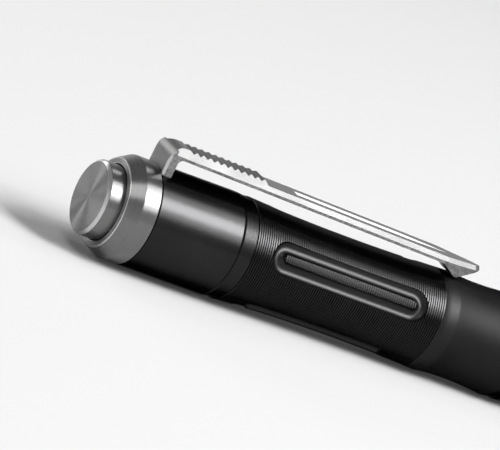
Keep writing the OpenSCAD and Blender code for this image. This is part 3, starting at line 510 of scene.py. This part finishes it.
def barrelOutline(b):
    rearMiddle = (b["rearGrip"][0] + b["rearGrip"][2]) / 2
    rearCurve = arcRadius((b["rearGrip"][2] - b["rearGrip"][0]) / 2, b["rearRadius"] - b["rearWaist"])
    neckRise = b["rearRadius"] - b["neckRadius"]
    neckCurves = arcRadius(b["neckStation"] - b["rearGrip"][2], neckRise), arcRadius(b["neckHalf"], neckRise)
    frontMiddle = sum(b["frontGrip"]) / 2
    frontCurve = arcRadius((b["frontGrip"][1] - b["frontGrip"][0]) / 2, b["radius"] - b["frontWaist"])
    land0, land1 = b["ends"][0] - b["landLength"], b["ends"][1] + b["landLength"]
    gap = (b["landLength"] - b["sealWidth"]) / 2

    def threadStops(start, end):
        count = int(round((end - start) / b["threadPitch"] * 7))
        return [(start + (end - start) * i / count, b["threadRadius"]) for i in range(count + 1)]

    def land(edge, way):
        floor = b["landRadius"] - b["sealDepth"]
        stops = [(0, b["landRadius"]), (gap, b["landRadius"]), (gap, floor), (gap + b["sealWidth"], floor),
                 (gap + b["sealWidth"], b["landRadius"]), (b["landLength"], b["landRadius"])]
        return [(edge + way * s, r) for s, r in stops]

    points = [(b["threadEnds"][0], b["threadRadius"] - b["threadLead"])]
    points += threadStops(b["threadEnds"][0] + b["threadLead"], land0)
    points += land(b["ends"][0], -1)[::-1]
    points += [(b["ends"][0], b["rearRadius"] - b["edge"]), (b["ends"][0] + b["edge"], b["rearRadius"])]
    points += [(s, dipped(s, rearMiddle, b["rearWaist"], rearCurve))
               for s in ringStops(b["rearGrip"][0], b["rearGrip"][1], b["ringPitch"])]
    points += [(s, dipped(s, rearMiddle, b["rearWaist"], rearCurve)) for s in b["crestStops"]]
    neck = [b["rearGrip"][2] + (b["frontCrest"] - b["rearGrip"][2]) * i / 16 for i in range(17)]
    points += [(s, dipped(s, b["neckStation"], b["neckRadius"], neckCurves[s > b["neckStation"]]))
               for s in neck]
    points += [(s, dipped(s, frontMiddle, b["frontWaist"], frontCurve))
               for s in ringStops(b["frontGrip"][0], b["frontGrip"][1], b["ringPitch"])]
    points += [(b["ends"][1] - b["edge"], b["radius"]), (b["ends"][1], b["radius"] - b["edge"])]
    points += land(b["ends"][1], 1)
    points += threadStops(land1, b["threadEnds"][1] - b["threadLead"])
    points += [(b["threadEnds"][1], b["threadRadius"] - b["threadLead"]), (b["cellEnd"], b["bore"]),
               (b["threadEnds"][0], b["bore"])]
    return points


def sinkTree(name, outside, cutShare):
    # sinks the points between start and end, as far out as outside, towards the axis;
    # cutShare gives the share of the depth, from a point's pitches past the start and its angle in turns
    sizes = {"start": 0.0, "end": 1.0, "pitch": 0.001, "depth": 0.0001, "outside": outside, "axisUp": 0.0,
             "finish": None}
    tree, given = startTree(name, sizes)
    place = tree.nodes.new("GeometryNodeInputPosition").outputs[0]
    x, y, z = put(tree, "ShaderNodeSeparateXYZ", {0: place}).outputs
    up = calc(tree, "SUBTRACT", z, given["axisUp"])
    spoke = put(tree, "ShaderNodeCombineXYZ", {1: y, 2: up}).outputs[0]
    radius = put(tree, "ShaderNodeVectorMath", {0: spoke}, operation="LENGTH").outputs["Value"]
    ray = put(tree, "ShaderNodeVectorMath", {0: spoke}, operation="NORMALIZE").outputs[0]
    turn = calc(tree, "DIVIDE", calc(tree, "SUBTRACT", x, given["start"]), given["pitch"])
    angle = calc(tree, "DIVIDE", calc(tree, "ARCTAN2", up, y), 2 * math.pi)
    share = cutShare(tree, turn, angle)
    inside = calc(tree, "MULTIPLY", calc(tree, "GREATER_THAN", x, given["start"]),
                  calc(tree, "LESS_THAN", x, given["end"]))
    sunk = calc(tree, "MULTIPLY", calc(tree, "MULTIPLY", share, inside),
                calc(tree, "GREATER_THAN", radius, given["outside"]))
    amount = calc(tree, "MULTIPLY", calc(tree, "MULTIPLY", sunk, given["depth"]), -1.0)
    offset = put(tree, "ShaderNodeVectorMath", {0: ray, "Scale": amount}, operation="SCALE").outputs[0]
    moved = put(tree, "GeometryNodeSetPosition", {"Geometry": given["Geometry"], "Offset": offset})
    endTree(tree, moved.outputs[0], given["finish"])
    return tree


def ringShare(tree, turn, angle):  # every third loop of a grip is the bottom of a ring's cut
    return calc(tree, "LESS_THAN", calc(tree, "FRACT", calc(tree, "ADD", turn, 0.1)), 0.2)


def threadShare(tree, turn, angle):  # a ridge that moves on by one pitch in a turn
    phase = calc(tree, "FRACT", calc(tree, "ADD", calc(tree, "SUBTRACT", turn, angle), 8.0))
    ridge = calc(tree, "ABSOLUTE", calc(tree, "MULTIPLY_ADD", phase, 2.0, -1.0))
    return put(tree, "ShaderNodeMapRange", {0: ridge, 1: 0.15, 2: 0.85, 3: 0.0, 4: 1.0}).outputs[0]


def channelTree():
    # a round-nosed cutter's path round an island, bent to the barrel and repeated round it
    sizes = {"pathLength": 0.02, "pathWidth": 0.003, "pathRadius": 0.0068, "cutterHalf": 0.0007,
             "cutterDrop": 0.0005, "cutterRise": 0.0015, "count": 4, "firstTurn": 67.0, "station": 0.0,
             "axisUp": 0.0, "finish": None}
    tree, given = startTree("slotChannels", sizes)
    loop = put(tree, "GeometryNodeCurvePrimitiveQuadrilateral", {"Width": given["pathLength"],
               "Height": given["pathWidth"]})
    rounded = put(tree, "GeometryNodeFilletCurve", {"Curve": loop.outputs[0], "Count": 12,
                 "Radius": calc(tree, "MULTIPLY", given["pathWidth"], 0.4999)}, mode="POLY")
    place = tree.nodes.new("GeometryNodeInputPosition").outputs[0]
    x, y, z = put(tree, "ShaderNodeSeparateXYZ", {0: place}).outputs
    square = calc(tree, "MULTIPLY", given["pathRadius"], given["pathRadius"])
    height = calc(tree, "SQRT", calc(tree, "SUBTRACT", square, calc(tree, "MULTIPLY", y, y)))
    bent = put(tree, "GeometryNodeSetPosition", {"Geometry": rounded.outputs[0],
               "Position": put(tree, "ShaderNodeCombineXYZ", {0: x, 1: y, 2: height}).outputs[0]})
    level = put(tree, "GeometryNodeSetCurveNormal", {"Curve": bent.outputs[0]}, mode="Z_UP")
    tall = calc(tree, "ADD", calc(tree, "MULTIPLY", calc(tree, "MINIMUM", y, 0.0), given["cutterRise"]),
                calc(tree, "MULTIPLY", calc(tree, "MAXIMUM", y, 0.0), given["cutterDrop"]))
    wide = calc(tree, "MULTIPLY", x, given["cutterHalf"])
    circle = put(tree, "GeometryNodeCurvePrimitiveCircle", {"Resolution": 36, "Radius": 1.0}).outputs[0]
    nose = put(tree, "GeometryNodeSetPosition", {
        "Geometry": circle, "Position": put(tree, "ShaderNodeCombineXYZ", {0: wide, 1: tall}).outputs[0]})
    sweep = put(tree, "GeometryNodeCurveToMesh", {"Curve": level.outputs[0], "Profile Curve": nose.outputs[0]})
    spots = put(tree, "GeometryNodeMeshLine", {"Count": given["count"], "Offset": (0, 0, 0)})
    number = tree.nodes.new("GeometryNodeInputIndex").outputs[0]
    share = calc(tree, "DIVIDE", number, given["count"])
    first = calc(tree, "RADIANS", given["firstTurn"])
    turn = calc(tree, "ADD", calc(tree, "MULTIPLY", share, 2 * math.pi), first)
    copies = put(tree, "GeometryNodeInstanceOnPoints", {
        "Points": spots.outputs[0], "Instance": sweep.outputs[0],
        "Rotation": put(tree, "ShaderNodeCombineXYZ", {0: turn}).outputs[0]})
    shift = put(tree, "ShaderNodeCombineXYZ", {0: given["station"], 2: given["axisUp"]}).outputs[0]
    shifted = put(tree, "GeometryNodeTransform", {"Geometry": copies.outputs[0], "Translation": shift})
    endTree(tree, shifted.outputs[0], given["finish"])
    return tree


def makeBarrel(b):
    piece = turned("barrelTube", barrelOutline(b), 96)
    piece.data.materials.append(paints["blackAnodising"])
    rings, thread = sinkTree("turnedRings", 0.006, ringShare), sinkTree("screwThread", 0.0056, threadShare)
    necks = ((b["threadEnds"][0] + b["threadLead"], b["ends"][0] - b["landLength"]),
             (b["ends"][1] + b["landLength"], b["threadEnds"][1] - b["threadLead"]))
    for tree, kind, parts in ((rings, "ring", (b["rearGrip"][:2], b["frontGrip"])), (thread, "thread", necks)):
        for start, end in parts:
            grow(piece, tree, {"start": along(start) - 1e-5, "end": along(end) + 1e-5, "axisUp": axisUp,
                 "pitch": b[kind + "Pitch"] / 1000, "depth": b[kind + "Depth"] / 1000,
                 "finish": paints["blackAnodising"]})
    channels = channelTree()
    for middle, length, floor in b["slots"]:
        tool = newPiece("channelTool", [(0, 0, 0)], [])
        inset = b["channelWidth"]
        grow(tool, channels, {
            "pathLength": (length - inset) / 1000, "pathWidth": (b["slotWidth"] - inset) / 1000,
            "pathRadius": (floor + b["cutterDrop"]) / 1000, "cutterHalf": b["cutterHalf"] / 1000,
            "cutterDrop": b["cutterDrop"] / 1000, "cutterRise": b["cutterRise"] / 1000,
            "count": b["slotCount"], "firstTurn": b["slotTurn"], "station": along(middle), "axisUp": axisUp,
            "finish": paints["cutChannel"]})
        outward(tool)
        carve(piece, tool)
    crease = along(b["rearGrip"][2])
    for edge in piece.data.edges:
        if all(abs(piece.data.vertices[i].co.x - crease) < 1e-6 for i in edge.vertices):
            edge.use_edge_sharp = True
    smooth(piece, 28, weighted=False)
    for coat, low, high in (("blastedAnodising", along(b["rearGrip"][1]), crease),
                            ("mattAnodisingPaintedShade", crease, along(b["frontCrest"]))):
        piece.data.materials.append(paints[coat])
        for face in piece.data.polygons:  # the crest and the neck between the grips are more matt; the neck also takes a darker colour, painted shade
            if low < face.center.x < high and face.material_index == 0:
                face.material_index = len(piece.data.materials) - 1
    seat(piece, "barrel_body", "black_anodising", "barrel")
    print("barrel faces:", len(piece.data.polygons))


makeBarrel(barrelSizes)
print("barrel turned")

# Tail cap

capSizes = {"rear": 0.1, "front": 12.7, "rearRadius": 7.0, "frontRadius": 7.06, "collarBore": 6.61,
            "collarEnd": 1.46, "landBore": 6.3, "landStation": 10.9, "threadBore": 6.0, "webStation": 2.78,
            "webThick": 0.7, "webHole": 2.6, "tubeBore": 6.14, "legHalf": 2.67, "legFoot": 6.15, "legRoom": 9}


def block(name, low, high):
    corners = [(x, y, z) for x in (low.x, high.x) for y in (low.y, high.y) for z in (low.z, high.z)]
    sides = [(0, 1, 3, 2), (4, 6, 7, 5), (0, 4, 5, 1), (2, 3, 7, 6), (0, 2, 6, 4), (1, 5, 7, 3)]
    return newPiece(name, corners, sides)


def makeCap(c):
    piece = turned("tailCap", eased([
        (c["rear"], c["collarBore"]), (c["rear"], c["rearRadius"], 0.12), (c["front"], c["frontRadius"], 0.15),
        (c["front"], c["landBore"]), (c["landStation"], c["landBore"]), (c["landStation"], c["threadBore"]),
        (c["webStation"] + c["webThick"], c["threadBore"]), (c["webStation"] + c["webThick"], c["webHole"]),
        (c["webStation"], c["webHole"]), (c["webStation"], c["tubeBore"]), (c["collarEnd"], c["tubeBore"]),
        (c["collarEnd"], c["collarBore"])], 0.05), 128)
    piece.data.materials.append(paints["blackAnodising"])
    carve(piece, block("legRoom", spot(-1, -c["legHalf"], c["legFoot"]),
                       spot(c["collarEnd"], c["legHalf"], c["legRoom"])))
    smooth(piece)
    seat(piece, "tail_body", "black_anodising", "tail_cap")


makeCap(capSizes)

# Clip: one bent bar, cut from its side view, its top view and its chamfered section

clipSizes = {
    "rear": 0.04, "legThick": 1.38, "legEnd": 5.9, "halfWidth": 2.63, "padHeight": 10.5, "padDrop": 0.14,
    "bend": 2.0, "innerBend": 0.725, "under": 9.12, "slope": 0.0149813, "slopeFrom": 2.75,
    "padEnd": 14.4, "padFall": 0.55, "armThick": 0.92, "footStart": 43.8, "foot": 46.6, "footHeight": 7.13,
    "footFlat": 0.5, "chin": (49.3, 8.28), "tip": 50.5, "tipUnder": 8.9, "tipHeight": 9.3,
    "nose": ((44.2, 2.63), (49.6, 1.23), (50.1, 0.95), (50.5, 0.62)),  # stations and half widths
    "edge": 0.3, "edgeHeight": 9.54, "edgeFrom": 0.8, "collarRadius": 6.15, "collarWidth": 0.42,
    "notchStart": 3.28, "notchCount": 11, "notchPitch": 1.055, "notchDepth": 0.28, "notchHalf": 0.48,
    "groove": ((20.2, 1.0), (38.0, 1.0), (44.8, 0.03)),  # stations and shares of its full section
    "grooveWidth": 1.3, "grooveDepth": 0.28, "soft": 0.05, "flexFrom": 2.3, "flexTo": 3.2, "flexHeight": 9.81}


def loft(name, sections):  # sections of equal length joined in a row and closed at both ends
    n = len(sections[0])
    points = [p for section in sections for p in section]
    last = len(points) - 1
    faces = [tuple(range(n)), tuple(range(last, last - n, -1))]
    faces += [(k + i, k + (i + 1) % n, k + n + (i + 1) % n, k + n + i)
              for k in range(0, len(points) - n, n) for i in range(n)]
    return newPiece(name, points, faces)


def prism(name, outline, toPoint, low, high):
    # a flat outline made solid between two depths; toPoint places a point of it
    return loft(name, [[toPoint(a, b, depth) for a, b in outline] for depth in (low, high)])


def notchTree():
    # a falling row of four-sided bars across the clip, lying on edge
    sizes = {"count": 11, "pitch": 0.001, "fall": 0.00002, "depth": 0.00025, "half": 0.0005, "width": 0.006,
             "station": 0.0, "height": 0.0, "finish": None}
    tree, given = startTree("clipNotches", sizes)
    start = put(tree, "ShaderNodeCombineXYZ", {0: given["station"], 2: given["height"]}).outputs[0]
    step = put(tree, "ShaderNodeCombineXYZ", {0: given["pitch"], 2: given["fall"]}).outputs[0]
    row = put(tree, "GeometryNodeMeshLine", {"Count": given["count"], "Start Location": start, "Offset": step})
    bar = put(tree, "GeometryNodeMeshCylinder", {"Vertices": 4, "Radius": 1.0, "Depth": 1.0})
    size = put(tree, "ShaderNodeCombineXYZ", {0: given["half"], 1: given["depth"], 2: given["width"]})
    bars = put(tree, "GeometryNodeInstanceOnPoints", {
        "Points": row.outputs[0], "Instance": bar.outputs[0], "Rotation": (math.pi / 2, 0, 0),
        "Scale": size.outputs[0]})
    endTree(tree, bars.outputs[0], given["finish"])
    return tree


def makeClip(c):
    def underAt(s):
        return c["under"] - c["slope"] * (s - c["slopeFrom"])

    def arc(centre, radius, start, end, steps):
        return [(centre[0] + radius * math.cos(math.radians(start + (end - start) * k / steps)),
                 centre[1] + radius * math.sin(math.radians(start + (end - start) * k / steps)))
                for k in range(steps + 1)]

    rear, bend, inner = c["rear"], c["bend"], c["innerBend"]
    legFront = rear + c["legThick"]
    armStart = c["padEnd"] + c["padFall"]
    side = [(rear, c["legEnd"])] + arc((rear + bend, c["padHeight"] - bend), bend, 180, 90, 16)
    side += [(c["padEnd"], c["padHeight"] - c["padDrop"]), (armStart, underAt(armStart) + c["armThick"]),
             (c["foot"], underAt(c["foot"]) + c["armThick"]), (c["tip"], c["tipHeight"]),
             (c["tip"], c["tipUnder"]), c["chin"], (c["foot"] + c["footFlat"] / 2, c["footHeight"]),
             (c["foot"] - c["footFlat"] / 2, c["footHeight"]), (c["footStart"], underAt(c["footStart"]))]
    side += arc((legFront + inner, c["under"] - inner), inner, 90, 180, 14) + [(legFront, c["legEnd"])]
    piece = prism("pocketClip", side, lambda s, h, y: spot(s, y, h), -c["halfWidth"], c["halfWidth"])
    half, edge = c["halfWidth"], c["edge"]
    top = [(rear, half - edge), (rear + edge, half), *c["nose"]]
    top += [(s, -y) for s, y in reversed(top)]
    carve(piece, prism("topView", top, lambda s, y, h: spot(s, y, h), 4, 12), "INTERSECT", "EXACT")
    rise = c["padHeight"] - c["edgeHeight"]

    def section(s, w):  # both top edges fall away at 45 degrees
        cut = min(rise * 1.5, w - 0.02)
        right = [(w + 1, -4), (w + 1, -1), (w, 0), (w - cut, cut)]
        outline = [(-y, h) for y, h in right[:1]] + right + [(-y, h) for y, h in right[:0:-1]]
        return [spot(s, y, c["edgeHeight"] + h - c["slope"] * s) for y, h in outline]

    (s0, w0), (s1, w1) = c["nose"][-2:]
    past = 1.05  # the section runs on a little beyond the tip
    stops = [(-1, half + rise * 1.5), (c["edgeFrom"], half + rise * 1.5), (c["edgeFrom"] + 0.06, half)]
    stops += [*c["nose"][:-1], (s0 + (s1 - s0) * past, w0 + (w1 - w0) * past)]
    carve(piece, loft("edgeSection", [section(s, w) for s, w in stops]), "INTERSECT", "EXACT")
    tool = newPiece("notchTool", [(0, 0, 0)], [])
    fall = c["padDrop"] / (c["padEnd"] - rear - bend)
    first = spot(c["notchStart"], 0, c["padHeight"] - fall * (c["notchStart"] - rear - bend))
    grow(tool, notchTree(), {
        "count": c["notchCount"], "pitch": c["notchPitch"] / 1000, "fall": -fall * c["notchPitch"] / 1000,
        "depth": c["notchDepth"] / 1000, "half": c["notchHalf"] / 1000, "width": 0.007,
        "station": first.x, "height": first.z, "finish": paints["satinSteel"]})
    carve(piece, tool, "DIFFERENCE", "EXACT")
    wide, deep = c["grooveWidth"], c["grooveDepth"]
    groove = [[spot(s, y, underAt(s) + c["armThick"] + h) for y, h in (
        (-wide * f / 2, 0), (0, -deep * f), (wide * f / 2, 0), (wide, 1), (-wide, 1))] for s, f in c["groove"]]
    carve(piece, loft("armGroove", groove), "DIFFERENCE", "EXACT")
    collar = turned("clipCollar", [(rear, c["collarRadius"]), (rear, c["collarRadius"] + c["collarWidth"]),
                    (legFront, c["collarRadius"] + c["collarWidth"]), (legFront, c["collarRadius"])], 96)
    carve(piece, turned("collarBore", [(-1, 0), (-1, c["collarRadius"]), (3, c["collarRadius"]), (3, 0)], 96),
          "DIFFERENCE", "EXACT")
    carve(piece, collar, "UNION", "EXACT")
    piece.data.materials.clear()
    for coat in ("satinSteel", "clipSide", "machinedEdge", "polishedEdgePaintedHighlight"):
        piece.data.materials.append(paints[coat])
    bevel = piece.modifiers.new("softEdges", "BEVEL")
    bevel.width = c["soft"] / 1000
    bevel.segments = 2
    bevel.limit_method = "ANGLE"
    bevel.angle_limit = math.radians(28)
    plain(piece)
    for face in piece.data.polygons:  # rough sheared sides, machined chamfers, and the leg's rear-facing edges and the groove in a brighter steel, painted highlight
        normal, lean = face.normal, abs(face.normal.y)
        inGroove = 0.25 < lean < 0.5 and abs(face.center.y) < wide / 2000
        if inGroove or (lean > 0.4 and normal.x < -0.4):
            face.material_index = 3
        elif lean > 0.6 and abs(normal.z) < 0.3:
            face.material_index = 1
        else:
            face.material_index = 2 if lean > 0.5 and face.center.z > spot(0, 0, 6.7).z else 0
    smooth(piece, 7)
    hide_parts("clip_root", "clip_arm")
    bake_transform(piece)


makeClip(clipSizes)
print("cap and clip made")

# Head shell and bezel

headSizes = {"rear": 97.1, "front": 117.8, "radius": 7.2, "edge": 0.15, "landBore": 6.3, "landEnd": 98.9,
             "threadBore": 6.0, "webStation": 101.7, "webThick": 0.85, "webHole": 4.6, "bore": 5.75,
             "tubeBore": 6.34, "tubeStation": 114.96, "grooveStart": 104.1, "groovePitch": 2.0,
             "grooveWidth": 1.0, "grooveDepth": 0.6, "grooveCount": 4}
bezelSizes = {"tube": 115.0, "rear": 117.9, "plain": 4.6, "front": 124.4, "radius": 7.2, "rim": 6.1,
              "mouth": 4.9, "flare": 5.4, "lip": 121.18, "tubeRadius": 6.3, "bore": 5.67}


def grooveTree():
    # square ring cutters in a row along the axis
    sizes = {"radius": 0.0072, "width": 0.001, "depth": 0.0006, "count": 4, "pitch": 0.002, "station": 0.0,
             "axisUp": 0.0, "finish": None}
    tree, given = startTree("coolingGrooves", sizes)
    hoop = put(tree, "GeometryNodeCurvePrimitiveCircle", {"Resolution": 112, "Radius": given["radius"]})
    edge = put(tree, "GeometryNodeCurvePrimitiveQuadrilateral", {
        "Width": calc(tree, "MULTIPLY", given["depth"], 2.0), "Height": given["width"]})
    soft = put(tree, "GeometryNodeFilletCurve", {"Curve": edge.outputs[0], "Count": 3,
               "Radius": calc(tree, "MULTIPLY", given["width"], 0.14)}, mode="POLY")
    ring = put(tree, "GeometryNodeCurveToMesh", {"Curve": hoop.outputs[0], "Profile Curve": soft.outputs[0]})
    step = put(tree, "ShaderNodeCombineXYZ", {0: given["pitch"]}).outputs[0]
    row = put(tree, "GeometryNodeMeshLine", {"Count": given["count"], "Offset": step})
    rings = put(tree, "GeometryNodeInstanceOnPoints", {"Points": row.outputs[0], "Instance": ring.outputs[0],
                "Rotation": (0, math.pi / 2, 0)})
    shift = put(tree, "ShaderNodeCombineXYZ", {0: given["station"], 2: given["axisUp"]}).outputs[0]
    placed = put(tree, "GeometryNodeTransform", {"Geometry": rings.outputs[0], "Translation": shift})
    endTree(tree, placed.outputs[0], given["finish"])
    return tree


def makeHead(h):
    piece = turned("headShell", eased([
        (h["rear"], h["landBore"]), (h["rear"], h["radius"], h["edge"]), (h["front"], h["radius"], h["edge"]),
        (h["front"], h["tubeBore"]), (h["tubeStation"], h["tubeBore"]), (h["tubeStation"], h["bore"]),
        (h["webStation"] + h["webThick"], h["bore"]), (h["webStation"] + h["webThick"], h["webHole"]),
        (h["webStation"], h["webHole"]), (h["webStation"], h["threadBore"]), (h["landEnd"], h["threadBore"]),
        (h["landEnd"], h["landBore"])], 0.05), 112)
    piece.data.materials.append(paints["blackAnodising"])
    tool = newPiece("grooveTool", [(0, 0, 0)], [])
    grow(tool, grooveTree(), {
        "radius": h["radius"] / 1000, "width": h["grooveWidth"] / 1000, "depth": h["grooveDepth"] / 1000,
        "count": h["grooveCount"], "pitch": h["groovePitch"] / 1000, "axisUp": axisUp,
        "station": along(h["grooveStart"] + h["grooveWidth"] / 2), "finish": paints["blackAnodising"]})
    outward(tool)
    carve(piece, tool)
    smooth(piece)
    seat(piece, "head_body", "black_anodising", "head_shell")


def makeBezel(b):
    piece = turned("bezelRing", eased([
        (b["tube"], b["bore"]), (b["tube"], b["tubeRadius"]), (b["rear"], b["tubeRadius"]),
        (b["rear"], b["radius"], 0.12), (b["rear"] + b["plain"], b["radius"], 0.08),
        (b["front"], b["rim"], 0.08), (b["front"], b["flare"], 0.08),
        (b["lip"] + (b["front"] - b["lip"]) / 3, b["mouth"], 0.2), (b["lip"], b["mouth"]),
        (b["lip"], b["bore"])], 0.05), 112)
    # the bezel takes the darker turned steel, painted shade
    piece.data.materials.append(paints["turnedSteelPaintedShade"])
    smooth(piece)
    seat(piece, "head_body", "turned_steel", "bezel_ring")


makeHead(headSizes)
makeBezel(bezelSizes)
print("head made")

# Finishes for the nodes that stay as they are

nodeFinishes = {
    "switch_plunger": "plungerPlastic", "button_boot": "blackRubber", "switch_housing": "switchPlastic",
    "switch_spring": "springSteel", "switch_board": "circuitBoard", "board_keeper": "cellKeeper",
    "cell_spring": "springSteel", "tail_seal": "blackRubber", "rear_cell_can": "cellCan",
    "rear_cell_sleeve": "cellSleeve", "front_cell_can": "cellCan", "front_cell_sleeve": "cellSleeve",
    "head_seal": "blackRubber", "contact_post": "machinedBrass", "driver_board": "circuitBoard",
    "driver_chip": "chipPackage", "driver_coil": "coilCore", "driver_capacitors": "capacitorBody",
    "heat_sink": "machinedBrass", "positive_lead": "redInsulation", "negative_lead": "blackInsulation",
    "led_board": "whiteBoard", "led_emitter": "ledPhosphor", "centring_ring": "whitePlastic",
    "reflector": "mirrorCoat", "lens": "lensGlass", "lens_seal": "blackRubber"}
for name, coat in nodeFinishes.items():
    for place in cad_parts[name].material_slots:
        place.material = paints[coat]
print("inner nodes finished:", len(nodeFinishes))
